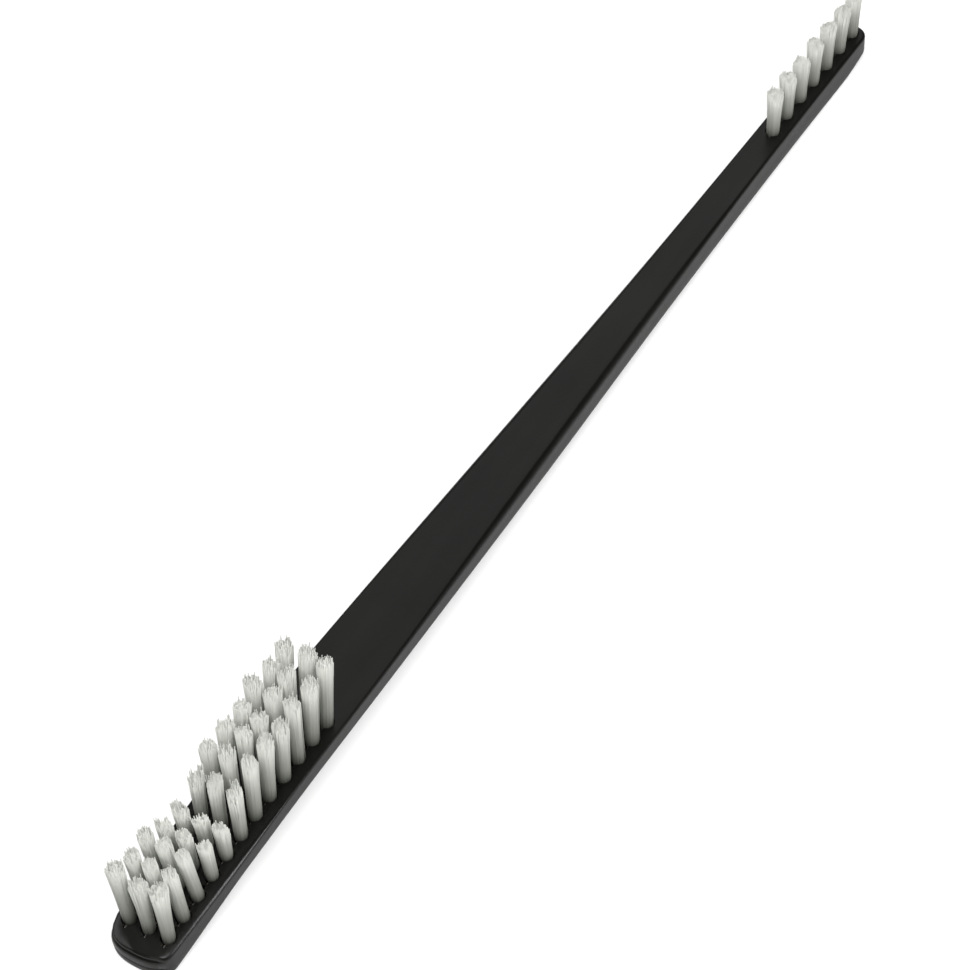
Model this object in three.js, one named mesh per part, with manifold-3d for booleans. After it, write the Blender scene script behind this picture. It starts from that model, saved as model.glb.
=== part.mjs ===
// A double-ended cleaning brush: one flat moulded handle, a wide head with three rows of tufts,
// a narrow head with a single row, and a flat metal anchor that holds each tuft in its hole.
// Millimetres, +Z up. X runs from the wide head to the narrow head, with the tufts up.
// Each piece is drawn from the tufted face: a distance from the wide end along that face,
// a place across it, and a height above it. Scrubbing has bent the wide head back, so the
// face follows an arc there. The finished brush is set down on its back at the end.
import * as THREE from 'three';
import { mergeVertices } from 'three/addons/utils/BufferGeometryUtils.js';
import Module from 'manifold-3d';

const wasm = await Module();
wasm.setup();

// Handle
const overallLength = 180;
const tipThickness = 3.9;
const headThickness = 2.7;
const gripThickness = 4;
const swellLength = 18;
const gripDistance = 100;
const tipWidth = 8.5;
const shoulderWidth = 10.3;
const neckWidth = 4.1;
const shoulderDistance = 24;
const taperEndInset = 12;
const wideEndRadius = 2.8;
const narrowEndRadius = 1.6;
const headEdgeRadius = 0.35;
const gripEdgeRadius = 0.8;
const endFlat = 0.1;
const landMargin = 3;
const droopAngle = 11.8;
const droopLength = 38;

// Tufts of the wide head
const columnCount = 12;
const columnPitch = 3.2;
const rowPitch = 2.8;
const firstTuftInset = 4;
const wideTrimHeight = 12.2;

// Tufts of the narrow head
const narrowTuftCount = 7;
const narrowPitch = 3.7;
const lastTuftInset = 1.7;
const narrowTrimHeight = 8.2;

// Tuft holes, tufts and anchors
const tuftDiameter = 1.9;
const fitClearance = 0.1;
const holeDepth = 1.9;
const foldHeight = 0.4;
const anchorHeight = 0.7;
const anchorThickness = 0.35;
const anchorBite = 0.25;
const sliceWidth = 1;
const sliceThickness = 0.4;
const sliceDepth = 0.1;

// Strands, and how far use has worn down the tufts near the middle of the wide head
const strandsPerTuft = 7;
const strandDiameter = 0.4;
const tuftFlare = 1.35;
const tipUnevenness = 0.5;
const wornDistance = 16;
const wornSpread = 3;
const wornDepth = 3.9;

// Facets
const arcSteps = 6;
const cornerSteps = 3;
const shoulderSteps = 6;
const taperSteps = 18;
const holeSides = 10;
const rootSides = 6;
const strandSides = 3;

// Sizes that follow from those above
const holeDiameter = tuftDiameter + 2 * fitClearance;
const anchorLength = holeDiameter + 2 * anchorBite;
const anchorBase = foldHeight - holeDepth;
const rootRadius = tuftDiameter / 2 * Math.cos(Math.PI / rootSides);
const wideLand = firstTuftInset + (columnCount - 1) * columnPitch + landMargin;
const narrowLand = lastTuftInset + (narrowTuftCount - 1) * narrowPitch + landMargin;
const taperEnd = overallLength - taperEndInset;
const wideRadius = Math.min(wideEndRadius, (tipWidth - endFlat) / 2 - headEdgeRadius);
const narrowRadius = Math.min(narrowEndRadius, (neckWidth - endFlat) / 2 - headEdgeRadius);
const droopRadius = droopLength / THREE.MathUtils.degToRad(droopAngle);
const goldenFraction = (Math.sqrt(5) - 1) / 2;

const blackPlastic = new THREE.MeshStandardMaterial({ color: 0x262623, roughness: 0.45, metalness: 0 });
const whiteNylon = new THREE.MeshStandardMaterial({ color: 0xd6d8d0, roughness: 0.5, metalness: 0 });
const anchorMetal = new THREE.MeshStandardMaterial({ color: 0xa8a49a, roughness: 0.35, metalness: 1 });

const { lerp, smoothstep } = THREE.MathUtils;

// Where a distance along the tufted face lies, and how the face is turned there
function faceFrame(distance) {
  const bend = Math.max(0, droopLength - distance) / droopRadius;
  const x = Math.max(distance, droopLength) - droopRadius * Math.sin(bend);
  const z = droopRadius * (Math.cos(bend) - 1);
  return new THREE.Matrix4().makeRotationY(-bend).setPosition(x, 0, z);
}

function toSolid(geometry) {
  geometry.deleteAttribute('normal');
  geometry.deleteAttribute('uv');
  const welded = mergeVertices(geometry);
  const vertProperties = new Float32Array(welded.getAttribute('position').array);
  const triVerts = new Uint32Array(welded.index.array);
  return new wasm.Manifold(new wasm.Mesh({ numProp: 3, vertProperties, triVerts }));
}

function toGeometry(solid) {
  const mesh = solid.getMesh();
  const geometry = new THREE.BufferGeometry();
  geometry.setAttribute('position', new THREE.BufferAttribute(mesh.vertProperties, 3));
  geometry.setIndex(new THREE.BufferAttribute(mesh.triVerts, 1));
  geometry.computeVertexNormals();
  return geometry;
}

// A solid between rings of points, each ring counterclockwise as seen from the narrow end
function loft(rings) {
  const count = rings[0].length;
  const positions = rings.flat().flatMap((point) => point.toArray());
  const triangles = [];
  for (let ring = 0; ring + 1 < rings.length; ring++) {
    for (let k = 0; k < count; k++) {
      const a = ring * count + k;
      const b = ring * count + (k + 1) % count;
      triangles.push(a, b, b + count, a, b + count, a + count);
    }
  }
  const last = (rings.length - 1) * count;
  for (let k = 1; k + 1 < count; k++) {
    triangles.push(0, k + 1, k);
    triangles.push(last, last + k, last + k + 1);
  }
  const geometry = new THREE.BufferGeometry();
  geometry.setAttribute('position', new THREE.Float32BufferAttribute(positions, 3));
  geometry.setIndex(triangles);
  return toSolid(geometry);
}

// How far a rounded corner of this radius draws in at a distance from the end
function cornerInset(distance, radius) {
  if (distance >= radius) return 0;
  return radius - Math.sqrt(radius ** 2 - (radius - distance) ** 2);
}

// Width, thickness and edge radius of the handle at a distance from its wide end
function handleWidth(distance) {
  if (distance < shoulderDistance) {
    const remaining = 1 - distance / shoulderDistance;
    return shoulderWidth - (shoulderWidth - tipWidth) * remaining ** 2;
  }
  return lerp(shoulderWidth, neckWidth, smoothstep(distance, shoulderDistance, taperEnd));
}

function handleThickness(distance) {
  const head = lerp(tipThickness, headThickness, smoothstep(distance, 0, swellLength));
  return lerp(head, gripThickness, smoothstep(distance, wideLand, gripDistance));
}

function edgeRadius(distance) {
  const rise = smoothstep(distance, wideLand, gripDistance);
  const fall = smoothstep(distance, gripDistance, overallLength - narrowLand);
  return lerp(headEdgeRadius, gripEdgeRadius, Math.sin(Math.PI * (rise + fall) / 2));
}

// Distances from the wide end at which the handle's section is drawn
function sectionDistances() {
  const distances = [];
  for (let step = 0; step <= arcSteps; step++) {
    distances.push(wideRadius * (1 - Math.cos(step / arcSteps * Math.PI / 2)));
  }
  for (let step = 1; step <= shoulderSteps; step++) {
    distances.push(lerp(wideRadius, shoulderDistance, step / shoulderSteps));
  }
  for (let step = 1; step <= taperSteps; step++) {
    distances.push(lerp(shoulderDistance, taperEnd, step / taperSteps));
  }
  for (let step = arcSteps; step >= 0; step--) {
    distances.push(overallLength - narrowRadius * (1 - Math.cos(step / arcSteps * Math.PI / 2)));
  }
  return distances;
}

// One section of the handle: a rectangle with round corners, hanging from the tufted face
function sectionRing(distance) {
  const fromEnd = Math.min(distance, overallLength - distance);
  const edgeInset = cornerInset(fromEnd, headEdgeRadius);
  const planInset = cornerInset(distance, wideRadius) + cornerInset(overallLength - distance, narrowRadius);
  const halfWidth = handleWidth(distance) / 2 - planInset - edgeInset;
  const low = edgeInset - handleThickness(distance);
  const high = -edgeInset;
  const radius = Math.min(edgeRadius(distance), halfWidth - endFlat / 4);
  const corners = [
    [halfWidth - radius, low + radius],
    [halfWidth - radius, high - radius],
    [radius - halfWidth, high - radius],
    [radius - halfWidth, low + radius],
  ];
  const ring = [];
  corners.forEach(([y, z], corner) => {
    for (let step = 0; step <= cornerSteps; step++) {
      const angle = (corner - 1 + step / cornerSteps) * Math.PI / 2;
      const point = new THREE.Vector3(0, y + radius * Math.cos(angle), z + radius * Math.sin(angle));
      ring.push(point.applyMatrix4(faceFrame(distance)));
    }
  });
  return ring;
}

// A row of tufts: the distance of each along the face, and its height after use
function wideRow(y) {
  const spots = [];
  for (let column = 0; column < columnCount; column++) {
    const distance = firstTuftInset + column * columnPitch;
    const wear = Math.exp(-(((distance - wornDistance) / wornSpread) ** 2));
    spots.push({ distance, height: wideTrimHeight - wornDepth * wear });
  }
  return { y, spots };
}

function narrowRow() {
  const spots = [];
  for (let tuft = 0; tuft < narrowTuftCount; tuft++) {
    const fromEnd = lastTuftInset + (narrowTuftCount - 1 - tuft) * narrowPitch;
    spots.push({ distance: overallLength - fromEnd, height: narrowTrimHeight });
  }
  return { y: 0, spots };
}

const rows = {
  left_row_tufts: wideRow(rowPitch),
  centre_row_tufts: wideRow(0),
  right_row_tufts: wideRow(-rowPitch),
  narrow_head_tufts: narrowRow(),
};

// Shapes that stand at one tuft, from a low to a high level against the face
function block(spot, row, length, width, low, high) {
  const geometry = new THREE.BoxGeometry(length, width, high - low);
  geometry.translate(0, row.y, (low + high) / 2);
  return toSolid(geometry.applyMatrix4(faceFrame(spot.distance)));
}

function post(spot, row, diameter, sides, low, high) {
  const geometry = new THREE.CylinderGeometry(diameter / 2, diameter / 2, high - low, sides);
  geometry.rotateX(Math.PI / 2);
  geometry.translate(0, row.y, (low + high) / 2);
  return toSolid(geometry.applyMatrix4(faceFrame(spot.distance)));
}

function anchorSpace(spot, row, clearance, high) {
  const length = anchorLength + 2 * clearance;
  const width = anchorThickness + 2 * clearance;
  return block(spot, row, length, width, anchorBase - clearance, high);
}

// The slice of backing that joins a row, or the groove for it when a clearance is given
function backingSlice(row, clearance, high) {
  const side = sliceWidth / 2 + clearance;
  const low = -sliceDepth - sliceThickness - clearance;
  const outline = [[side, low], [side, high], [-side, high], [-side, low]];
  return loft(row.spots.map((spot) => outline.map(([y, z]) => {
    return new THREE.Vector3(0, row.y + y, z).applyMatrix4(faceFrame(spot.distance));
  })));
}

function handle() {
  let body = loft(sectionDistances().map(sectionRing));
  const above = sliceThickness;
  for (const row of Object.values(rows)) {
    body = body.subtract(backingSlice(row, fitClearance, above));
    for (const spot of row.spots) {
      body = body.subtract(post(spot, row, holeDiameter, holeSides, -holeDepth, above));
      body = body.subtract(anchorSpace(spot, row, fitClearance, above));
    }
  }
  return body;
}

// One bristle strand of a tuft: the first is in the middle and the others stand in a ring round it
function strand(spot, row, index, serial) {
  const ringRadius = index === 0 ? 0 : rootRadius - strandDiameter / 2;
  const angle = index / (strandsPerTuft - 1) * 2 * Math.PI;
  const offset = new THREE.Vector3(ringRadius * Math.cos(angle), ringRadius * Math.sin(angle), 0);
  const unevenness = tipUnevenness * (serial * goldenFraction % 1);
  const root = new THREE.Vector3(0, row.y, -sliceThickness / 2).add(offset);
  const tip = new THREE.Vector3(0, row.y, spot.height - unevenness).addScaledVector(offset, tuftFlare);
  const along = tip.clone().sub(root);
  const radius = strandDiameter / 2;
  const geometry = new THREE.CylinderGeometry(radius, radius, along.length(), strandSides);
  const upright = new THREE.Vector3(0, 1, 0);
  geometry.applyQuaternion(new THREE.Quaternion().setFromUnitVectors(upright, along.normalize()));
  geometry.translate(...root.add(tip).multiplyScalar(0.5).toArray());
  return toSolid(geometry.applyMatrix4(faceFrame(spot.distance)));
}

function tuftRow(row) {
  let body = backingSlice(row, 0, -sliceDepth);
  row.spots.forEach((spot, place) => {
    body = body.add(post(spot, row, tuftDiameter, rootSides, fitClearance - holeDepth, 0));
    const anchorTop = anchorBase + anchorHeight + fitClearance;
    body = body.subtract(anchorSpace(spot, row, fitClearance, anchorTop));
    for (let index = 0; index < strandsPerTuft; index++) {
      body = body.add(strand(spot, row, index, place * strandsPerTuft + index));
    }
  });
  return body;
}

function addPiece(group, name, solid, material) {
  const mesh = new THREE.Mesh(toGeometry(solid), material);
  mesh.name = name;
  group.add(mesh);
}

// Sets the brush down so that the back of both ends touches Z = 0, centred over the origin
function setDown(group) {
  const wideHeel = new THREE.Vector3(0, 0, -handleThickness(0)).applyMatrix4(faceFrame(0));
  const narrowHeel = new THREE.Vector3(overallLength, 0, -gripThickness);
  const rise = narrowHeel.clone().sub(wideHeel);
  group.rotation.y = Math.atan2(rise.z, rise.x);
  const bounds = new THREE.Box3().setFromObject(group, true);
  const centre = bounds.getCenter(new THREE.Vector3());
  group.position.set(-centre.x, -centre.y, -bounds.min.z);
}

const brush = new THREE.Group();
addPiece(brush, 'handle', handle(), blackPlastic);
for (const [name, row] of Object.entries(rows)) {
  addPiece(brush, name, tuftRow(row), whiteNylon);
  row.spots.forEach((spot, place) => {
    const anchor = anchorSpace(spot, row, 0, anchorBase + anchorHeight);
    addPiece(brush, name.replace('tufts', `anchor_${place + 1}`), anchor, anchorMetal);
  });
}
setDown(brush);

export default brush;
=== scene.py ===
import math

import bmesh
import bpy
import numpy as np
from mathutils import Matrix, Vector


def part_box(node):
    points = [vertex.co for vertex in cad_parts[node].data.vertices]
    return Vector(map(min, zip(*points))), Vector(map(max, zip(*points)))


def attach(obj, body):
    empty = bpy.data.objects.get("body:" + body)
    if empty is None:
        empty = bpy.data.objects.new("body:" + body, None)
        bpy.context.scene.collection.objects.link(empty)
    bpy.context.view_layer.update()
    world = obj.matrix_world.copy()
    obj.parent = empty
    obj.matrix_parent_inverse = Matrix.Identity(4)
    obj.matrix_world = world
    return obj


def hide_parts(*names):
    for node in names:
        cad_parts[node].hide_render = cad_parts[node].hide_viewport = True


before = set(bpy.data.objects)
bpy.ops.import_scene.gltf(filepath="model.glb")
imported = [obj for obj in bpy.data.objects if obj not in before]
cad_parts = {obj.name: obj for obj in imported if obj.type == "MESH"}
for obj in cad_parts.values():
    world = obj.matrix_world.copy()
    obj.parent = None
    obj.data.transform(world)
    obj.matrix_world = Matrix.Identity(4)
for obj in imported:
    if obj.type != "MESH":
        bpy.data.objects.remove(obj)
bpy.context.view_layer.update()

mm = 0.001
scene = bpy.context.scene
print("frame loaded:", len(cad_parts), "nodes")


# How the brush lies: the wide head is bent back along an arc, and the whole rests on its two ends
lie = {
    "length": 180.0,
    "bendAngle": 11.8,
    "bendLength": 38.0,
    "restTilt": 1.18997,
    "lastTuftInset": 1.7,       # middle of the last anchor, used to seat the brush on the frame
    "lastAnchorHeight": -1.15,
}
bendRadius = lie["bendLength"] / math.radians(lie["bendAngle"])
restTurn = Matrix.Rotation(math.radians(lie["restTilt"]), 3, "Y")


def bendAt(distance):
    return max(0.0, lie["bendLength"] - distance) / bendRadius


def blankPoint(distance, across, height):
    bend = bendAt(distance)
    x = max(distance, lie["bendLength"]) - (bendRadius + height) * math.sin(bend)
    z = (bendRadius + height) * math.cos(bend) - bendRadius
    return restTurn @ Vector((x, across, z))


low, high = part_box("narrow_head_anchor_7")
seat = (low + high) / 2 / mm
seat -= blankPoint(lie["length"] - lie["lastTuftInset"], 0, lie["lastAnchorHeight"])


# Place in the frame, in metres, of a distance from the wide end, a place across and a height over
# the face, which are in millimetres
def facePoint(distance, across, height):
    return (blankPoint(distance, across, height) + seat) * mm


def faceAngle(distance):
    return math.radians(lie["restTilt"]) - bendAt(distance)


def smoothStep(value, start, end):
    part = min(1.0, max(0.0, (value - start) / (end - start)))
    return part * part * (3 - 2 * part)


def blend(first, second, part):
    return first + (second - first) * part


# Node helpers

def setSockets(node, values):
    for name, value in values.items():
        node.inputs[name].default_value = value
    return node


def addNode(tree, kind, values=None, **settings):
    node = tree.nodes.new(kind)
    for name, value in settings.items():
        setattr(node, name, value)
    return setSockets(node, values or {})


def join(tree, source, target):
    tree.links.new(source, target)


def plug(tree, value, socket):
    if isinstance(value, bpy.types.NodeSocket):
        tree.links.new(value, socket)
    else:
        socket.default_value = value


# One Math node: numbers or sockets in, one socket out
def mathNode(tree, operation, *values):
    node = addNode(tree, "ShaderNodeMath", operation=operation)
    for value, socket in zip(values, node.inputs):
        plug(tree, value, socket)
    return node.outputs[0]


def vectorNode(tree, operation, first, second):
    node = addNode(tree, "ShaderNodeVectorMath", operation=operation)
    plug(tree, first, node.inputs[0])
    plug(tree, second, node.inputs["Scale" if operation == "SCALE" else 1])
    return node.outputs["Value" if operation == "DOT_PRODUCT" else "Vector"]


def addNoise(tree, place, scale, detail):
    node = addNode(tree, "ShaderNodeTexNoise", {"Scale": scale, "Detail": detail})
    join(tree, place, node.inputs["Vector"])
    return node


def addRange(tree, value, fromRange=(0.0, 1.0), toRange=(0.0, 1.0)):
    names = ("From Min", "From Max", "To Min", "To Max")
    node = addNode(tree, "ShaderNodeMapRange", dict(zip(names, (*fromRange, *toRange))))
    join(tree, value, node.inputs["Value"])
    return node.outputs["Result"]


# A colour ramp from its stops, each a place and a colour, lowest first
def addRamp(tree, value, stops):
    node = addNode(tree, "ShaderNodeValToRGB")
    elements = node.color_ramp.elements
    for element, (place, colour) in zip(elements, (stops[0], stops[-1])):
        element.position = place
        element.color = colour
    for place, colour in stops[1:-1]:
        elements.new(place).color = colour
    join(tree, value, node.inputs["Fac"])
    return node.outputs["Color"]


# Links two shaders into a Mix Shader or Add Shader, whose last two sockets take them
def joinShaders(tree, node, first, second):
    join(tree, first.outputs[0], node.inputs[-2])
    join(tree, second.outputs[0], node.inputs[-1])
    return node


def newMaterial(name):
    material = bpy.data.materials.new(name)
    material.use_nodes = True
    tree = material.node_tree
    place = addNode(tree, "ShaderNodeTexCoord").outputs["Object"]
    return material, tree, tree.nodes["Principled BSDF"], place


def newGeometryTree(name, inputs):
    tree = bpy.data.node_groups.new(name, "GeometryNodeTree")
    tree.interface.new_socket("Geometry", in_out="INPUT", socket_type="NodeSocketGeometry")
    for label, kind in inputs.items():
        tree.interface.new_socket(label, in_out="INPUT", socket_type=kind)
    tree.interface.new_socket("Geometry", in_out="OUTPUT", socket_type="NodeSocketGeometry")
    return tree, tree.nodes.new("NodeGroupInput"), tree.nodes.new("NodeGroupOutput")


def namedValue(tree, label, kind):
    node = addNode(tree, "GeometryNodeInputNamedAttribute", {"Name": label}, data_type=kind)
    return node.outputs["Attribute"]


# Every tree ends in Realize Instances and Set Material
def closeTree(tree, geometry, material, end):
    real = addNode(tree, "GeometryNodeRealizeInstances")
    join(tree, geometry, real.inputs["Geometry"])
    painted = addNode(tree, "GeometryNodeSetMaterial")
    join(tree, real.outputs["Geometry"], painted.inputs["Geometry"])
    join(tree, material, painted.inputs["Material"])
    join(tree, painted.outputs["Geometry"], end.inputs["Geometry"])


# Runs a tree on a mesh and gives back a plain mesh object of the result
def runTree(name, mesh, tree, values):
    source = bpy.data.objects.new(name + "Source", mesh)
    scene.collection.objects.link(source)
    modifier = source.modifiers.new(name, "NODES")
    modifier.node_group = tree
    for item in tree.interface.items_tree:
        if item.item_type == "SOCKET" and item.in_out == "INPUT" and item.name in values:
            modifier[item.identifier] = values[item.name]
    source.update_tag()
    graph = bpy.context.evaluated_depsgraph_get()
    made = bpy.data.meshes.new_from_object(source.evaluated_get(graph), depsgraph=graph)
    source.modifiers.clear()
    bpy.data.objects.remove(source)
    piece = bpy.data.objects.new(name, made)
    made.name = name
    scene.collection.objects.link(piece)
    return piece


# A mesh of loose points, one for each place, with the named values on it
def pointMesh(name, places, values):
    mesh = bpy.data.meshes.new(name)
    mesh.from_pydata([tuple(p) for p in places], [], [])
    for label, rows in values.items():
        isVector = hasattr(rows[0], "__len__")
        kind, key = ("FLOAT_VECTOR", "vector") if isVector else ("FLOAT", "value")
        attribute = mesh.attributes.new(label, kind, "POINT")
        attribute.data.foreach_set(key, np.array(rows, np.float32).ravel())
    return mesh


# Black plastic of the handle

plasticLook = {
    "dark": (0.0016, 0.0016, 0.0012, 1),
    "light": (0.0036, 0.0036, 0.0028, 1),
    "cloudScale": 55.0,
    "cloudRange": (0.34, 0.68),
    "refraction": 1.49,
    "mirror": 0.3,
    "roughnessLow": 0.27,
    "roughnessHigh": 0.33,
    "dust": (0.16, 0.155, 0.145, 1),
    "dustScale": 210.0,
    "dustSize": 0.055,
    "dustRarity": 0.88,         # nearer to 1, fewer specks
    "rubScale": 420.0,
    "rubStretch": (0.12, 1, 1),
    "rubRange": (0.3, 0.7),
    "rubRelief": 1.4,
    "grainScale": 2600.0,
    "grainStrength": 0.5,
    "grainHeight": 0.000022,
}


def makePlastic():
    look = plasticLook
    material, tree, shader, place = newMaterial("satinBlackPlastic")
    setSockets(shader, {"IOR": look["refraction"], "Specular IOR Level": look["mirror"]})
    cloud = addNoise(tree, place, look["cloudScale"], 4.0)
    stops = tuple(zip(look["cloudRange"], (look["dark"], look["light"])))
    tone = addRamp(tree, cloud.outputs["Fac"], stops)

    # rare pale specks of dust
    cells = addNode(tree, "ShaderNodeTexVoronoi", {"Scale": look["dustScale"]})
    join(tree, place, cells.inputs["Vector"])
    speck = mathNode(tree, "LESS_THAN", cells.outputs["Distance"], look["dustSize"])
    split = addNode(tree, "ShaderNodeSeparateColor")
    join(tree, cells.outputs["Color"], split.inputs["Color"])
    rare = mathNode(tree, "GREATER_THAN", split.outputs["Red"], look["dustRarity"])
    dusty = addNode(tree, "ShaderNodeMix", {"B": look["dust"]}, data_type="RGBA")
    join(tree, mathNode(tree, "MULTIPLY", speck, rare), dusty.inputs["Factor"])
    join(tree, tone, dusty.inputs["A"])
    join(tree, dusty.outputs["Result"], shader.inputs["Base Color"])

    # rubbed streaks run along the handle and change the gloss
    along = addNode(tree, "ShaderNodeMapping", {"Scale": look["rubStretch"]})
    join(tree, place, along.inputs["Vector"])
    rub = addNoise(tree, along.outputs["Vector"], look["rubScale"], 5.0).outputs["Fac"]
    gloss = addRange(tree, rub, look["rubRange"], (look["roughnessLow"], look["roughnessHigh"]))
    join(tree, gloss, shader.inputs["Roughness"])

    # the streaks and a fine moulded grain stand in the bump
    grain = addNoise(tree, place, look["grainScale"], 2.0).outputs["Fac"]
    relief = mathNode(tree, "ADD", grain, mathNode(tree, "MULTIPLY", rub, look["rubRelief"]))
    bump = addNode(tree, "ShaderNodeBump", {
        "Strength": look["grainStrength"],
        "Distance": look["grainHeight"],
    })
    join(tree, relief, bump.inputs["Height"])
    join(tree, bump.outputs["Normal"], shader.inputs["Normal"])
    return material


# Nylon of the filaments: painted shade darkens them towards the roots, each filament a little
# different

nylonLook = {
    "stops": (                  # place along the filament, and its colour there: painted shade, darker towards the root
        (0.04, (0.12, 0.124, 0.107, 1)),
        (0.28, (0.33, 0.338, 0.303, 1)),
        (0.6, (0.53, 0.54, 0.50, 1)),
        (1.0, (0.83, 0.84, 0.795, 1)),
    ),
    "roughness": 0.42,
    "refraction": 1.53,
    "mirror": 0.22,
    "throughLight": 0.35,
    "tintLow": 0.95,
    "tintShare": 0.7,           # of a filament's own tint, the rest is streaks
    "streakScale": 900.0,
}


def makeNylon():
    look = nylonLook
    material, tree, shader, place = newMaterial("nylonWithPaintedRootShade")
    setSockets(shader, {
        "Roughness": look["roughness"],
        "IOR": look["refraction"],
        "Specular IOR Level": look["mirror"],
    })
    along = addNode(tree, "ShaderNodeAttribute", attribute_name="alongFilament")
    # painted shade: the ramp darkens each filament towards its root, where the tuft stands in shade
    tone = addRamp(tree, along.outputs["Fac"], look["stops"])

    own = addNode(tree, "ShaderNodeAttribute", attribute_name="filamentTint")
    streak = addNoise(tree, place, look["streakScale"], 2.0)
    ownPart = mathNode(tree, "MULTIPLY", own.outputs["Fac"], look["tintShare"])
    streakPart = mathNode(tree, "MULTIPLY", streak.outputs["Fac"], 1 - look["tintShare"])
    mixed = mathNode(tree, "ADD", ownPart, streakPart)
    tinted = vectorNode(tree, "SCALE", tone, addRange(tree, mixed, toRange=(look["tintLow"], 1.0)))
    join(tree, tinted, shader.inputs["Base Color"])
    through = addNode(tree, "ShaderNodeBsdfTranslucent")
    join(tree, tinted, through.inputs["Color"])
    both = addNode(tree, "ShaderNodeMixShader", {"Fac": look["throughLight"]})
    joinShaders(tree, both, shader, through)
    join(tree, both.outputs[0], tree.nodes["Material Output"].inputs["Surface"])
    return material


# Flat cut wire of the anchors

wireLook = {
    "dark": (0.30, 0.28, 0.25, 1),
    "light": (0.46, 0.44, 0.39, 1),
    "scale": 1800.0,
    "roughness": (0.28, 0.5),
}


def makeWire():
    look = wireLook
    material, tree, shader, place = newMaterial("anchorWire")
    setSockets(shader, {"Metallic": 1.0})
    drawn = addNoise(tree, place, look["scale"], 3.0).outputs["Fac"]
    tone = addRamp(tree, drawn, ((0.0, look["dark"]), (1.0, look["light"])))
    join(tree, tone, shader.inputs["Base Color"])
    join(tree, addRange(tree, drawn, toRange=look["roughness"]), shader.inputs["Roughness"])
    return material


plastic = makePlastic()
nylon = makeNylon()
wire = makeWire()
print("materials made")


# Tuft places: distance from the wide end and place across, in millimetres

tuftGrid = {
    "columns": 12,
    "columnPitch": 3.2,
    "rowPitch": 2.8,
    "firstInset": 4.0,
    "narrowCount": 7,
    "narrowPitch": 3.7,
}


def wideSpots(across):
    first, pitch = tuftGrid["firstInset"], tuftGrid["columnPitch"]
    return [(first + column * pitch, across) for column in range(tuftGrid["columns"])]


def narrowSpots():
    last = lie["length"] - lie["lastTuftInset"]
    count, pitch = tuftGrid["narrowCount"], tuftGrid["narrowPitch"]
    return [(last - (count - 1 - place) * pitch, 0.0) for place in range(count)]


rowSpots = {
    "left_row": wideSpots(tuftGrid["rowPitch"]),
    "centre_row": wideSpots(0.0),
    "right_row": wideSpots(-tuftGrid["rowPitch"]),
    "narrow_head": narrowSpots(),
}


# Handle, in millimetres

handleShape = {
    "tipThickness": 3.9,
    "headThickness": 2.7,
    "gripThickness": 4.0,
    "swellLength": 18.0,
    "headEnd": 42.2,
    "gripDistance": 100.0,
    "narrowHead": 153.1,
    "tipWidth": 8.5,
    "shoulderWidth": 10.3,
    "neckWidth": 4.1,
    "shoulderDistance": 24.0,
    "taperEnd": 168.0,
    "wideNose": 2.5,
    "wideNosePower": 2.4,
    "narrowNose": 2.05,
    "narrowNosePower": 2.1,
    "headEdge": 0.3,
    "gripEdge": 0.8,
    "narrowEdge": 0.36,
    "edgeFade": 1.5,            # how far in from an edge the lip's step pulls the face
    "leastFlat": 0.4,           # least flat share of the face
    "rollReach": 1.9,           # soft left corner of the nose: how far in and how far down it rolls
    "rollDrop": 0.4,
    "rollFade": (1.0, 7.0),
    "rollAcross": 2.6,
    "rightCut": 0.85,           # how flat the right edge is cut, fading out behind the head
    "rightCutFade": (14.0, 30.0),
    "heelRadius": 1.6,          # lower corner of the narrow end
    "heelStart": 173.0,
    "lipDepth": 0.42,           # step under the nose's top edge
    "lipFade": {"left": (1.2, 3.6), "right": (0.25, 1.4)},
    "lipProfile": ((0.45, 1.0), (0.54, 0.55), (0.72, 0.32), (1.05, 0.14)),  # drop, share of depth
    "partingHeight": -2.3,
    "partingDepth": 0.22,
    "partingProfile": ((0.22, 0.0), (0.0, 1.0), (-0.14, 0.5), (-0.4, 0.0)),  # rise, share of depth
    "sharpAngle": 38.0,
}
handleMesh = {
    "edgeSteps": 6,
    "faceSteps": 5,
    "noseSteps": 16,
    "ringSpacing": 1.3,
    "endInset": 0.00002,        # the first and last rings stand just inside the ends
    "wallGap": 0.02,            # least height between two points of the side wall
    "outlineSteps": 400,
    "outlineInset": 0.004,
    "flatTries": 80,
    "slopeStep": 0.01,
    "holeSides": 28,
}


def noseShare(fromEnd, noseLength, power):
    if fromEnd >= noseLength:
        return 1.0
    return (1 - (1 - fromEnd / noseLength) ** power) ** (1 / power)


def halfWidth(distance):
    s = handleShape
    wide, shoulder = s["shoulderWidth"], s["shoulderDistance"]
    if distance < shoulder:
        width = wide - (wide - s["tipWidth"]) * (1 - distance / shoulder) ** 2
    else:
        width = blend(wide, s["neckWidth"], smoothStep(distance, shoulder, s["taperEnd"]))
    share = noseShare(distance, s["wideNose"], s["wideNosePower"])
    share *= noseShare(lie["length"] - distance, s["narrowNose"], s["narrowNosePower"])
    return width / 2 * share


def thickness(distance):
    s = handleShape
    head = blend(s["tipThickness"], s["headThickness"], smoothStep(distance, 0, s["swellLength"]))
    return blend(head, s["gripThickness"], smoothStep(distance, s["headEnd"], s["gripDistance"]))


# Radius of a rounded edge: "left" and "right" of the face, or "under" for the back
def edgeSize(distance, edge):
    s = handleShape
    rise = smoothStep(distance, s["headEnd"], s["gripDistance"])
    fall = smoothStep(distance, s["gripDistance"], s["narrowHead"])
    ends = blend(s["headEdge"], s["narrowEdge"], fall)
    radius = blend(ends, s["gripEdge"], math.sin(math.pi * (rise + fall) / 2))
    if edge == "under":
        radius = blend(radius, s["heelRadius"], smoothStep(distance, s["heelStart"], lie["length"]))
    return radius


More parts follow.
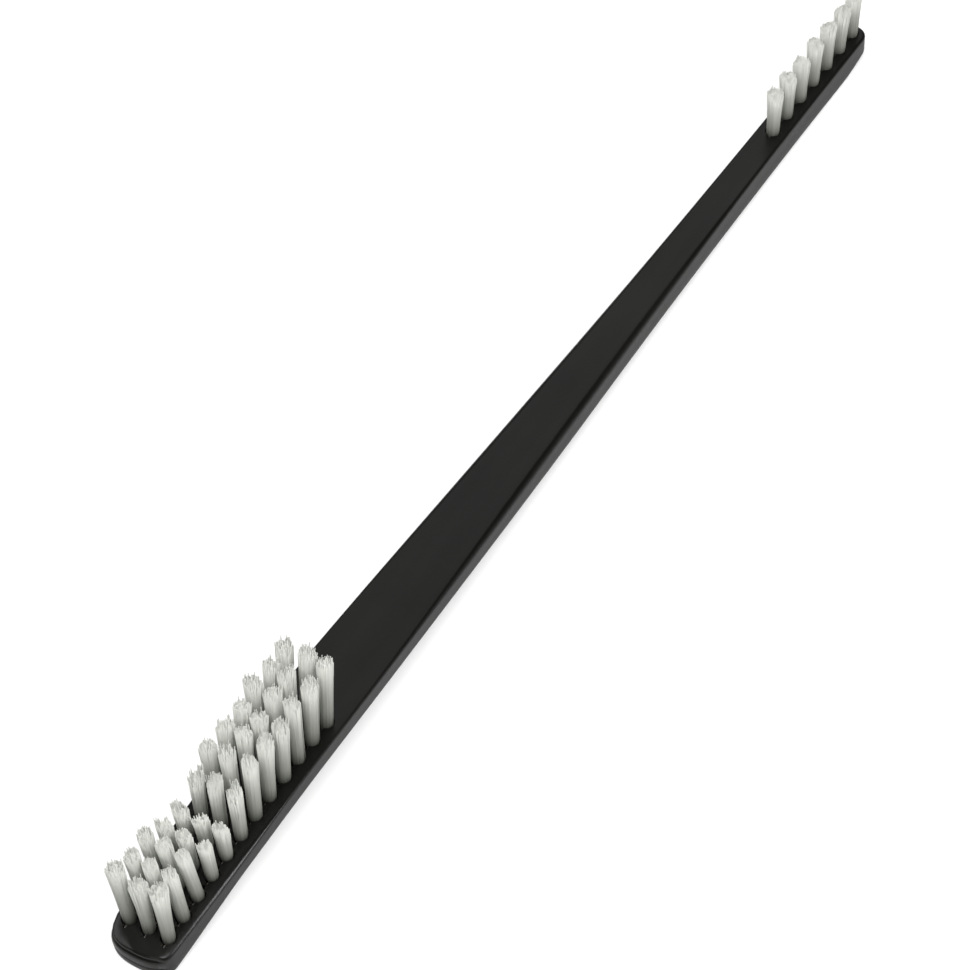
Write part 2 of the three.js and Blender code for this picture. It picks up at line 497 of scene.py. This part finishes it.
# Reach and drop of the face's edge at one place: the left corner of the nose rolls over softly
def rollSize(distance, across, edge):
    s = handleShape
    radius = edgeSize(distance, edge)
    if edge != "left":
        return radius, radius
    part = (1 - smoothStep(distance, *s["rollFade"])) * smoothStep(across, 0.0, s["rollAcross"])
    return blend(radius, s["rollReach"], part), blend(radius, s["rollDrop"], part)


# Where the handle's rings stand: close together round both noses
def ringDistances():
    s, steps, end = handleShape, handleMesh["noseSteps"], lie["length"]
    parts = [1 - math.cos(k / steps * math.pi / 2) for k in range(1, steps + 1)]
    wide = [s["wideNose"] * part for part in parts]
    narrow = [end - s["narrowNose"] * part for part in reversed(parts)]
    first, last = s["wideNose"], end - s["narrowNose"]
    count = round((last - first) / handleMesh["ringSpacing"])
    body = [blend(first, last, k / count) for k in range(1, count)]
    inset = handleMesh["endInset"]
    return [inset] + wide + body + narrow + [end - inset]


# Distance of plan points from the outline's left half, and the way from there into the handle
def outlineGap(points, outline):
    start, step = outline[:-1], np.diff(outline, axis=0)
    delta = points[:, None, :] - start[None]
    part = np.clip((delta * step).sum(2) / (step ** 2).sum(1), 0, 1)
    away = delta - part[..., None] * step
    gaps = np.sqrt((away ** 2).sum(2))
    nearest = gaps.argmin(1)
    rows = np.arange(len(points))
    gap = gaps[rows, nearest]
    return gap, away[rows, nearest] / np.maximum(gap, 1e-9)[:, None]


# The way from the outline into the handle at one distance
def edgeWay(distance):
    step = handleMesh["slopeStep"]
    ahead, behind = min(distance + step, lie["length"]), max(distance - step, 0.0)
    slope = (halfWidth(ahead) - halfWidth(behind)) / (ahead - behind)
    return np.array((slope, -1)) / math.hypot(slope, 1)


# Half of a section from the middle to the edge: plan points, drawn in by the step, and heights
def halfSection(distance, outline, edge, step):
    s, m = handleShape, handleMesh
    half = halfWidth(distance)
    reach = rollSize(distance, half, edge)[0]
    tries = np.linspace(0, half, m["flatTries"])
    gaps = outlineGap(np.stack([np.full(len(tries), distance), tries], 1), outline)[0]
    inside = tries[gaps >= reach]
    flat = max(inside.max() if len(inside) else 0.0, s["leastFlat"] * half)
    turn = np.arange(m["edgeSteps"], -1, -1) / m["edgeSteps"] * math.pi / 2
    face = flat * np.arange(m["faceSteps"]) / m["faceSteps"]
    across = np.concatenate([face, half - (half - flat) * (1 - np.cos(turn))])
    plan = np.stack([np.full(len(across), distance), across], 1)
    gaps, way = outlineGap(plan, outline)
    gaps[-1], way[-1] = 0, edgeWay(distance)
    reaches, falls = np.array([rollSize(distance, y, edge) for y in across]).T
    short = np.clip(1 - gaps / reaches, 0, 1)
    flatCut = 0.0
    if edge == "right":
        flatCut = s["rightCut"] * (1 - smoothStep(distance, *s["rightCutFade"]))
    heights = -falls * blend(1 - np.sqrt(1 - short ** 2), short, flatCut)
    near = np.array([1 - smoothStep(gap, reach, reach + s["edgeFade"]) for gap in gaps])
    return plan + way * (near * step)[:, None], heights


# Side wall from the face down to the back: a lip under the nose's edge, a parting line lower down
def sideWall(distance, upper, lower, lip, parting):
    s, gap = handleShape, handleMesh["wallGap"]
    profile = [(upper - drop, share * lip) for drop, share in s["lipProfile"]]
    line = s["partingHeight"]
    profile += [(line + rise, share * parting) for rise, share in s["partingProfile"]]
    count = len(profile)
    edge = np.array((distance, halfWidth(distance)))
    wall = []
    for number, (height, inset) in enumerate(profile):
        height = max(lower + gap * (count - number), min(upper - gap * (number + 1), height))
        place = edge + edgeWay(distance) * inset
        wall.append((place[0], place[1], height))
    return wall


# One side of a ring, from the middle of the face round the edge to the middle of the back
def halfRing(distance, outline, side):
    s = handleShape
    fade = 1 - smoothStep(distance, *s["lipFade"][side])
    lip, parting = s["lipDepth"] * fade, s["partingDepth"] * fade
    depth = thickness(distance)
    plan, heights = halfSection(distance, outline, side, lip)
    underPlan, underHeights = halfSection(distance, outline, "under", 0.0)
    points = [(x, y, z) for (x, y), z in zip(plan, heights)]
    points += sideWall(distance, heights[-1], -depth - underHeights[-1], lip, parting)
    points += [(x, y, -depth - z) for (x, y), z in zip(underPlan[::-1], underHeights[::-1])]
    return points


def handleRing(distance, outline):
    right = halfRing(distance, outline, "right")
    left = halfRing(distance, outline, "left")
    loop = [(x, -y, z) for x, y, z in right] + left[-2:0:-1]
    return [facePoint(x, y, z) for x, y, z in loop]


def makeBlank():
    distances = ringDistances()
    inset, end = handleMesh["outlineInset"], lie["length"]
    even = np.linspace(inset, end - inset, handleMesh["outlineSteps"])
    fine = np.unique(np.concatenate([distances, even]))
    outline = np.array([(0, 0)] + [(d, halfWidth(d)) for d in fine] + [(end, 0)])
    rings = [handleRing(d, outline) for d in distances]
    count = len(rings[0])
    mesh = bmesh.new()
    verts = [[mesh.verts.new(p) for p in ring] for ring in rings]
    for before, after in zip(verts[:-1], verts[1:]):
        for k in range(count):
            n = (k + 1) % count
            mesh.faces.new((before[k], before[n], after[n], after[k]))
    # both ends close across the middle
    for ring in (verts[0], verts[-1]):
        for k in range(count // 2):
            corners = (ring[k], ring[k + 1], ring[-k - 1], ring[-k])
            mesh.faces.new(list(dict.fromkeys(corners)))
    bmesh.ops.recalc_face_normals(mesh, faces=mesh.faces)
    blank = bpy.data.meshes.new("handleBlank")
    mesh.to_mesh(blank)
    mesh.free()
    return blank


# Tuft holes and anchor slits, cut where the tufts stand

holeCut = {
    "Hole Radius": 1.05,
    "Hole Depth": 1.9,
    "Slit Length": 2.9,
    "Slit Width": 0.55,
    "Clear Height": 1.0,
}
faceNick = {                    # a small nick behind the wide head, cut as a shrunken hole
    "distance": 44.9,
    "across": 0.3,
    "scale": (0.34, 0.3, 0.3),
}


def makeHoleTree():
    inputs = {"Places": "NodeSocketObject"}
    inputs.update({name: "NodeSocketFloat" for name in holeCut})
    inputs["Material"] = "NodeSocketMaterial"
    tree, start, end = newGeometryTree("tuftHoles", inputs)
    sizes = start.outputs
    places = addNode(tree, "GeometryNodeObjectInfo")
    join(tree, sizes["Places"], places.inputs["Object"])
    points = addNode(tree, "GeometryNodeMeshToPoints")
    join(tree, places.outputs["Geometry"], points.inputs["Mesh"])
    rotation = addNode(tree, "FunctionNodeEulerToRotation")
    join(tree, namedValue(tree, "faceTurn", "FLOAT_VECTOR"), rotation.inputs["Euler"])
    scale = namedValue(tree, "cutScale", "FLOAT_VECTOR")
    tall = mathNode(tree, "ADD", sizes["Hole Depth"], sizes["Clear Height"])
    lift = mathNode(tree, "SUBTRACT", sizes["Clear Height"], sizes["Hole Depth"])
    raised = addNode(tree, "ShaderNodeCombineXYZ")
    join(tree, mathNode(tree, "MULTIPLY", lift, 0.5), raised.inputs["Z"])

    drill = addNode(tree, "GeometryNodeMeshCylinder", {"Vertices": handleMesh["holeSides"]})
    join(tree, sizes["Hole Radius"], drill.inputs["Radius"])
    join(tree, tall, drill.inputs["Depth"])
    slit = addNode(tree, "GeometryNodeMeshCube")
    slitSize = addNode(tree, "ShaderNodeCombineXYZ")
    join(tree, sizes["Slit Length"], slitSize.inputs["X"])
    join(tree, sizes["Slit Width"], slitSize.inputs["Y"])
    join(tree, tall, slitSize.inputs["Z"])
    join(tree, slitSize.outputs[0], slit.inputs["Size"])

    cut = addNode(tree, "GeometryNodeMeshBoolean", operation="DIFFERENCE", solver="EXACT")
    join(tree, start.outputs["Geometry"], cut.inputs["Mesh 1"])
    for tool in (drill, slit):
        lifted = addNode(tree, "GeometryNodeTransform")
        join(tree, tool.outputs["Mesh"], lifted.inputs["Geometry"])
        join(tree, raised.outputs[0], lifted.inputs["Translation"])
        placed = addNode(tree, "GeometryNodeInstanceOnPoints")
        join(tree, points.outputs["Points"], placed.inputs["Points"])
        join(tree, lifted.outputs["Geometry"], placed.inputs["Instance"])
        join(tree, rotation.outputs["Rotation"], placed.inputs["Rotation"])
        join(tree, scale, placed.inputs["Scale"])
        join(tree, placed.outputs["Instances"], cut.inputs["Mesh 2"])
    closeTree(tree, cut.outputs["Mesh"], sizes["Material"], end)
    return tree


def makeHandle():
    spots = [spot for row in rowSpots.values() for spot in row]
    scales = [(1, 1, 1)] * len(spots) + [faceNick["scale"]]
    spots.append((faceNick["distance"], faceNick["across"]))
    places = [facePoint(d, y, 0) for d, y in spots]
    turns = [(0, faceAngle(d), 0) for d, y in spots]
    cuts = pointMesh("holePlaces", places, {"faceTurn": turns, "cutScale": scales})
    marks = bpy.data.objects.new("holePlaces", cuts)
    scene.collection.objects.link(marks)
    values = {name: size * mm for name, size in holeCut.items()}
    values.update({"Places": marks, "Material": plastic})
    handle = runTree("brush_handle", makeBlank(), makeHoleTree(), values)
    bpy.data.objects.remove(marks)
    handle.data.polygons.foreach_set("use_smooth", [True] * len(handle.data.polygons))
    handle.data.set_sharp_from_angle(angle=math.radians(handleShape["sharpAngle"]))
    return handle


handle = makeHandle()
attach(handle, "root")
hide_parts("handle")
print("handle made:", len(handle.data.polygons), "faces")


# Tufts of nylon filaments, in millimetres and degrees

tuftShape = {
    "wideHeights": (        # by column, the worn ones in the fourth to the sixth
        11.75, 11.95, 11.75, 9.35, 7.75, 10.85, 11.85, 11.85, 11.55, 12.15, 12.2, 12.2,
    ),
    "wideLeans": (5.4, 8.4, 9.5, 9.6, 6.4, 3.1, 1.8, 0.2, 0.1, -0.5, -1.2, -1.4),
    "narrowLean": -2.4,
    "narrowHeight": 8.2,
    "heightNoise": 0.25,
    "leanNoise": 0.9,
    "rearColumns": (3, 8),      # from front to rear values between these columns
    "frontRadius": 0.8,
    "rearRadius": 0.84,
    "frontFlare": 0.2,
    "rearFlare": 0.36,
    "flareNoise": 0.04,
    "splayedRow": "left_row",   # its first tuft is pushed outwards
    "splayedLean": 4.5,
    "splayedFlare": 0.48,       # the first tufts open like fans
    "narrowFlare": 0.36,
    "rightFlare": 0.55,         # the right row stands straighter than the others
    "slant": (0.2, 0.55),
    "peak": (0.0, 0.35),
    "ragged": (0.8, 1.3),
    "notch": (0.4, 1.0),
    "wornColumns": (3, 4, 5),
    "wornSlant": 2.2,
    "wornPeak": 2.0,
    "wornNotch": 2.4,
    "narrowRagged": 0.45,
    "narrowPeak": 0.45,
    "softness": 0.62,
    "seed": 5,
}
filamentSizes = {
    "Filament Count": 260,
    "Filament Radius": 0.085,
    "Root Depth": 0.7,
    "Sway": 0.07,
    "Clump Size": 0.55,
    "Clump Sway": 0.14,
    "Seed": 11,
}
filamentForm = {
    "sides": 5,
    "points": 6,
    "goldenAngle": 2.399963,
    "nudge": 0.5,               # of a filament's radius
    "clumpShift": (7.0, 3.0, 5.0),
    "standingPower": 5.0,       # the higher, the fewer filaments stand out of a top
    "notchRange": (0.35, 0.7),
    "shortest": 0.5,            # of the tuft's height
    "strayPower": 9.0,          # the higher, the fewer filaments stray
    "strayReach": 2.6,
    "facingSide": 0.25,
    "facingTop": 1.3,
    "facingPower": 6.0,
    "tipRounding": 0.28,
    "tipPower": 24.0,
}


def makeTuftTree():
    form = filamentForm
    kinds = {int: "NodeSocketInt", float: "NodeSocketFloat"}
    inputs = {name: kinds[type(value)] for name, value in filamentSizes.items()}
    inputs["Material"] = "NodeSocketMaterial"
    tree, start, end = newGeometryTree("tuftFilaments", inputs)
    sizes = start.outputs

    def times(first, second):
        return mathNode(tree, "MULTIPLY", first, second)

    def plus(first, second):
        return mathNode(tree, "ADD", first, second)

    def minus(first, second):
        return mathNode(tree, "SUBTRACT", first, second)

    def power(first, second):
        return mathNode(tree, "POWER", first, second)

    def scaled(arrow, amount):
        return vectorNode(tree, "SCALE", arrow, amount)

    def added(first, second):
        return vectorNode(tree, "ADD", first, second)

    def ownNumber(label):
        return namedValue(tree, label, "FLOAT")

    def ownArrow(label):
        return namedValue(tree, label, "FLOAT_VECTOR")

    def keep(geometry, label, value, kind):
        node = addNode(tree, "GeometryNodeStoreNamedAttribute", {"Name": label}, data_type=kind)
        join(tree, geometry, node.inputs["Geometry"])
        join(tree, value, node.inputs["Value"])
        return node.outputs["Geometry"]

    index = addNode(tree, "GeometryNodeInputIndex").outputs["Index"]

    def draw(offset, low, high, kind):
        node = addNode(tree, "FunctionNodeRandomValue", data_type=kind)
        slots = [s for s in node.inputs if s.enabled]
        slots[0].default_value = low
        slots[1].default_value = high
        join(tree, index, node.inputs["ID"])
        join(tree, plus(sizes["Seed"], offset), node.inputs["Seed"])
        return [s for s in node.outputs if s.enabled][0]

    def drawNumber(offset):
        return draw(offset, 0.0, 1.0, "FLOAT")

    def drawWay(offset):
        return draw(offset, (-1.0, -1.0, 0.0), (1.0, 1.0, 0.0), "FLOAT_VECTOR")

    points = addNode(tree, "GeometryNodeMeshToPoints")
    join(tree, start.outputs["Geometry"], points.inputs["Mesh"])
    many = addNode(tree, "GeometryNodeDuplicateElements", domain="POINT")
    join(tree, points.outputs["Points"], many.inputs["Geometry"])
    join(tree, sizes["Filament Count"], many.inputs["Amount"])

    # filaments fill the hole in a sunflower pattern
    number = many.outputs["Duplicate Index"]
    angle = plus(times(number, form["goldenAngle"]), ownNumber("tuftSpin"))
    share = mathNode(tree, "DIVIDE", plus(number, 0.5), sizes["Filament Count"])
    reach = times(mathNode(tree, "SQRT", share), ownNumber("tuftRadius"))
    alongPart = scaled(ownArrow("tuftAlong"), times(reach, mathNode(tree, "COSINE", angle)))
    acrossPart = scaled((0.0, 1.0, 0.0), times(reach, mathNode(tree, "SINE", angle)))
    nudge = scaled(drawWay(5), times(sizes["Filament Radius"], form["nudge"]))
    offset = added(added(alongPart, acrossPart), nudge)

    # neighbouring filaments wear and bend together in clumps
    clumpPlace = scaled(offset, mathNode(tree, "DIVIDE", 1.0, sizes["Clump Size"]))
    clumpShift = scaled(form["clumpShift"], ownNumber("tuftSpin"))
    clump = addNoise(tree, added(clumpPlace, clumpShift), 1.0, 1.0)

    # trimmed length: slanted, pointed and notched tops, and a few filaments that stand out of each
    height = ownNumber("tuftHeight")
    slant = vectorNode(tree, "DOT_PRODUCT", offset, ownArrow("tuftSlant"))
    point = times(share, ownNumber("tuftPeak"))
    standing = power(drawNumber(1), form["standingPower"])
    ragged = times(minus(1.0, standing), ownNumber("tuftRagged"))
    notch = times(addRange(tree, clump.outputs["Fac"], form["notchRange"]), ownNumber("tuftNotch"))
    length = minus(minus(minus(plus(height, slant), point), ragged), notch)
    length = mathNode(tree, "MAXIMUM", length, times(height, form["shortest"]))
    length = mathNode(tree, "MINIMUM", length, height)

    # sideways sway of each filament's tip
    stray = power(drawNumber(3), form["strayPower"])
    stray = mathNode(tree, "MULTIPLY_ADD", stray, form["strayReach"], 1.0)
    sway = scaled(drawWay(2), times(stray, sizes["Sway"]))
    clumpWay = vectorNode(tree, "SUBTRACT", clump.outputs["Color"], (0.5, 0.5, 0.5))
    sway = added(sway, scaled(clumpWay, sizes["Clump Sway"]))

    geometry = many.outputs["Geometry"]
    position = addNode(tree, "GeometryNodeInputPosition").outputs["Position"]
    geometry = keep(geometry, "rootPlace", position, "FLOAT_VECTOR")
    geometry = keep(geometry, "rootOffset", offset, "FLOAT_VECTOR")
    geometry = keep(geometry, "tipSway", sway, "FLOAT_VECTOR")
    geometry = keep(geometry, "ownLength", length, "FLOAT")
    geometry = keep(geometry, "filamentTint", drawNumber(4), "FLOAT")

    # a short line on every point, whose own points are set below
    line = addNode(tree, "GeometryNodeCurvePrimitiveLine", {"End": (0, 0, 0.01)})
    resampled = addNode(tree, "GeometryNodeResampleCurve", {"Count": form["points"]})
    join(tree, line.outputs["Curve"], resampled.inputs["Curve"])
    placed = addNode(tree, "GeometryNodeInstanceOnPoints")
    join(tree, geometry, placed.inputs["Points"])
    join(tree, resampled.outputs["Curve"], placed.inputs["Instance"])
    real = addNode(tree, "GeometryNodeRealizeInstances")
    join(tree, placed.outputs["Instances"], real.inputs["Geometry"])

    # each filament leaves its root along the tuft, spreads with the flare and sways near the tip
    part = addNode(tree, "GeometryNodeSplineParameter").outputs["Factor"]
    part2 = times(part, part)
    spread = plus(1.0, times(part2, ownNumber("tuftFlare")))
    root = added(ownArrow("rootPlace"), scaled(ownArrow("rootOffset"), spread))
    below = scaled(ownArrow("tuftUp"), times(sizes["Root Depth"], minus(part, 1.0)))
    rise = scaled(ownArrow("tuftAxis"), times(part, ownNumber("ownLength")))
    bow = scaled(ownArrow("tipSway"), part2)
    moved = addNode(tree, "GeometryNodeSetPosition")
    join(tree, real.outputs["Geometry"], moved.inputs["Geometry"])
    join(tree, added(added(root, below), added(rise, bow)), moved.inputs["Position"])
    shaped = keep(moved.outputs["Geometry"], "alongFilament", part, "FLOAT")

    # the way that the tuft as a whole faces at this place: outwards, and upwards at the top
    inverse = mathNode(tree, "DIVIDE", 1.0, ownNumber("tuftRadius"))
    outwards = scaled(ownArrow("rootOffset"), inverse)
    upwards = plus(form["facingSide"], times(power(part, form["facingPower"]), form["facingTop"]))
    facing = added(outwards, scaled(ownArrow("tuftAxis"), upwards))
    shaped = keep(shaped, "tuftFacing", facing, "FLOAT_VECTOR")

    # the cut end is slightly rounded
    closing = minus(1.0, times(power(part, form["tipPower"]), form["tipRounding"]))
    thin = addNode(tree, "GeometryNodeSetCurveRadius")
    join(tree, shaped, thin.inputs["Curve"])
    join(tree, times(closing, sizes["Filament Radius"]), thin.inputs["Radius"])
    profile = addNode(tree, "GeometryNodeCurvePrimitiveCircle", {
        "Resolution": form["sides"],
        "Radius": 1.0,
    })
    tube = addNode(tree, "GeometryNodeCurveToMesh", {"Fill Caps": True})
    join(tree, thin.outputs["Curve"], tube.inputs["Curve"])
    join(tree, profile.outputs["Curve"], tube.inputs["Profile Curve"])
    join(tree, addNode(tree, "GeometryNodeInputRadius").outputs["Radius"], tube.inputs["Scale"])
    smooth = addNode(tree, "GeometryNodeSetShadeSmooth")
    join(tree, tube.outputs["Mesh"], smooth.inputs["Geometry"])
    closeTree(tree, smooth.outputs["Geometry"], sizes["Material"], end)
    return tree


# The named values of a row's tufts, one of each for every tuft
def tuftValues(row, spots, rng):
    s = tuftShape
    narrow = row == "narrow_head"
    values = {}
    for place, (distance, across) in enumerate(spots):
        up = (facePoint(distance, 0, 1) - facePoint(distance, 0, 0)).normalized()
        if narrow:
            height, lean, rear, worn = s["narrowHeight"], s["narrowLean"], 1.0, False
        else:
            height, lean = s["wideHeights"][place], s["wideLeans"][place]
            rear = smoothStep(place, *s["rearColumns"])
            worn = place in s["wornColumns"]
        lean = math.radians(lean + rng.normal(0, s["leanNoise"]))
        sideLean = math.radians(rng.normal(0, s["leanNoise"]))
        axis = Vector((-math.sin(lean), math.sin(sideLean), math.cos(lean))).normalized()
        if row == s["splayedRow"] and place == 0:
            axis = (axis + Vector((0, math.radians(s["splayedLean"]), 0))).normalized()
        flare = blend(s["frontFlare"], s["rearFlare"], rear)
        flare += rng.uniform(-s["flareNoise"], s["flareNoise"])
        if narrow:
            flare = s["narrowFlare"]
        elif place == 0:
            flare = s["splayedFlare"]
        elif row == "right_row":
            flare *= s["rightFlare"]
        slantWay = rng.uniform(0, 2 * math.pi)
        slant = rng.uniform(*s["slant"]) * (s["wornSlant"] if worn else 1.0)
        height -= rng.uniform(0, s["heightNoise"])
        spin = rng.uniform(0, 2 * math.pi)
        peak = rng.uniform(*s["peak"]) * (s["wornPeak"] if worn else 1.0)
        ragged = rng.uniform(*s["ragged"])
        if narrow:
            peak, ragged = peak + s["narrowPeak"], ragged * s["narrowRagged"]
        notch = rng.uniform(*s["notch"]) * (s["wornNotch"] if worn else 1.0)
        tuft = {
            "tuftUp": up,
            "tuftAlong": Vector((up.z, 0, -up.x)),
            "tuftAxis": axis,
            "tuftHeight": height * mm,
            "tuftRadius": blend(s["frontRadius"], s["rearRadius"], rear) * mm,
            "tuftFlare": flare,
            "tuftSpin": spin,
            "tuftSlant": (slant * math.cos(slantWay), slant * math.sin(slantWay), 0),
            "tuftPeak": peak * mm,
            "tuftRagged": ragged * mm,
            "tuftNotch": notch * mm,
        }
        for name, value in tuft.items():
            values.setdefault(name, []).append(value)
    return values


# Nylon passes light on, so a tuft shades as one soft column: the normals of its filaments lean
# towards the way that the whole tuft faces
def softenTufts(mesh):
    facing = np.empty(len(mesh.vertices) * 3, np.float32)
    own = np.empty_like(facing)
    mesh.attributes["tuftFacing"].data.foreach_get("vector", facing)
    mesh.vertex_normals.foreach_get("vector", own)
    normals = blend(own, facing, tuftShape["softness"]).reshape(-1, 3)
    normals /= np.maximum(np.linalg.norm(normals, axis=1, keepdims=True), 1e-6)
    mesh.normals_split_custom_set_from_vertices(normals)


tuftTree = makeTuftTree()
rng = np.random.default_rng(tuftShape["seed"])
treeValues = {"Material": nylon}
for name, value in filamentSizes.items():
    treeValues[name] = value * mm if isinstance(value, float) else value
for row, spots in rowSpots.items():
    places = [facePoint(d, y, 0) for d, y in spots]
    points = pointMesh(row + "Places", places, tuftValues(row, spots, rng))
    tufts = runTree(row + "_filaments", points, tuftTree, treeValues)
    softenTufts(tufts.data)
    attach(tufts, "root")
    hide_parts(row + "_tufts")
    print(row, "filaments:", len(tufts.data.polygons), "faces")

# anchors keep their own solids and get the wire finish
for row, spots in rowSpots.items():
    for place in range(len(spots)):
        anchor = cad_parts["%s_anchor_%d" % (row, place + 1)]
        anchor.data.materials.clear()
        anchor.data.materials.append(wire)
print("anchors finished")


# Floor, world, lamps and camera

studio = {
    "floorSize": 6.0,
    "floorTone": 0.6,
    "floorLift": 0.42,
    "worldTone": (1.0, 0.99, 0.97, 1),
    "worldStrength": 0.45,
    "mirrorStrength": 0.12,
}
lamps = {                       # power, size, place and aim
    "keyLamp": (8.4, 0.8, (-0.4, -0.25, 0.9), (0, 0, 0)),
    "sideLamp": (0.9, 0.6, (-0.2, -0.6, 0.6), (0, 0, 0)),
    "rimLamp": (3.0, 0.22, (0.22, -0.85, 0.43), (-0.08, 0, 0)),
    "fillLamp": (3.8, 0.8, (-0.3, 0.75, 0.6), (-0.05, 0, 0)),
    "backLamp": (0.76, 0.6, (0.62, 0.4, 0.72), (0, 0, 0)),
}
cameraPlace = {                 # in millimetres and degrees
    "focalPixels": 5000.0,
    "imagePixels": 970.0,
    "sensor": 36.0,
    "aim": (-3.987, 3.180, 0.0),
    "distance": 643.01,
    "yaw": 32.585,
    "pitch": 50.006,
    "roll": 1.713,
    "clip": (0.01, 20.0),       # in metres
}


def makeFloor():
    half = studio["floorSize"] / 2
    corners = [(-half, -half, 0), (half, -half, 0), (half, half, 0), (-half, half, 0)]
    mesh = bpy.data.meshes.new("floor")
    mesh.from_pydata(corners, [], [(0, 1, 2, 3)])
    floor = bpy.data.objects.new("floor", mesh)
    scene.collection.objects.link(floor)
    material = bpy.data.materials.new("paleFloor")
    material.use_nodes = True
    tree = material.node_tree
    tree.nodes.remove(tree.nodes["Principled BSDF"])
    tone = studio["floorTone"]
    matt = addNode(tree, "ShaderNodeBsdfDiffuse", {"Color": (tone, tone, tone, 1)})
    glow = addNode(tree, "ShaderNodeEmission")
    seen = addNode(tree, "ShaderNodeLightPath").outputs["Is Camera Ray"]
    join(tree, mathNode(tree, "MULTIPLY", seen, studio["floorLift"]), glow.inputs["Strength"])
    both = joinShaders(tree, addNode(tree, "ShaderNodeAddShader"), matt, glow)
    join(tree, both.outputs[0], tree.nodes["Material Output"].inputs["Surface"])
    mesh.materials.append(material)


def makeWorld():
    world = bpy.data.worlds.new("studioWorld")
    world.use_nodes = True
    tree = world.node_tree
    tone = studio["worldTone"]
    last = tree.nodes["Background"]
    setSockets(last, {"Color": tone, "Strength": studio["worldStrength"]})
    white = addNode(tree, "ShaderNodeBackground", {"Color": (1, 1, 1, 1), "Strength": 1.0})
    mirror = addNode(tree, "ShaderNodeBackground", {
        "Color": tone,
        "Strength": studio["mirrorStrength"],
    })
    path = addNode(tree, "ShaderNodeLightPath")
    for ray, light in (("Is Glossy Ray", mirror), ("Is Camera Ray", white)):
        pick = addNode(tree, "ShaderNodeMixShader")
        join(tree, path.outputs[ray], pick.inputs["Fac"])
        last = joinShaders(tree, pick, last, light)
    join(tree, last.outputs[0], tree.nodes["World Output"].inputs["Surface"])
    scene.world = world


def makeLamp(name, power, size, place, aim):
    lamp = bpy.data.lights.new(name, "AREA")
    lamp.energy = power
    lamp.shape = "DISK"
    lamp.size = size
    lampObject = bpy.data.objects.new(name, lamp)
    lampObject.location = place
    way = Vector(aim) - Vector(place)
    lampObject.rotation_euler = way.to_track_quat("-Z", "Y").to_euler()
    scene.collection.objects.link(lampObject)


def makeCamera():
    p = cameraPlace
    yaw, pitch, roll = (math.radians(p[name]) for name in ("yaw", "pitch", "roll"))
    flat = math.cos(pitch)
    forward = Vector((math.cos(yaw) * flat, math.sin(yaw) * flat, -math.sin(pitch)))
    level = Vector((math.sin(yaw), -math.cos(yaw), 0))
    down = forward.cross(level)
    right = math.cos(roll) * level + math.sin(roll) * down
    below = -math.sin(roll) * level + math.cos(roll) * down
    data = bpy.data.cameras.new("photoCamera")
    data.sensor_fit = "HORIZONTAL"
    data.sensor_width = p["sensor"]
    data.lens = p["focalPixels"] / p["imagePixels"] * p["sensor"]
    data.clip_start, data.clip_end = p["clip"]
    camera = bpy.data.objects.new("photoCamera", data)
    turn = Matrix((right, -below, -forward)).transposed().to_4x4()
    stand = (Vector(p["aim"]) - forward * p["distance"]) * mm
    camera.matrix_world = Matrix.Translation(stand) @ turn
    scene.collection.objects.link(camera)
    scene.camera = camera


makeFloor()
makeWorld()
for name, values in lamps.items():
    makeLamp(name, *values)
makeCamera()
scene.view_settings.view_transform = "Standard"
print("studio made")
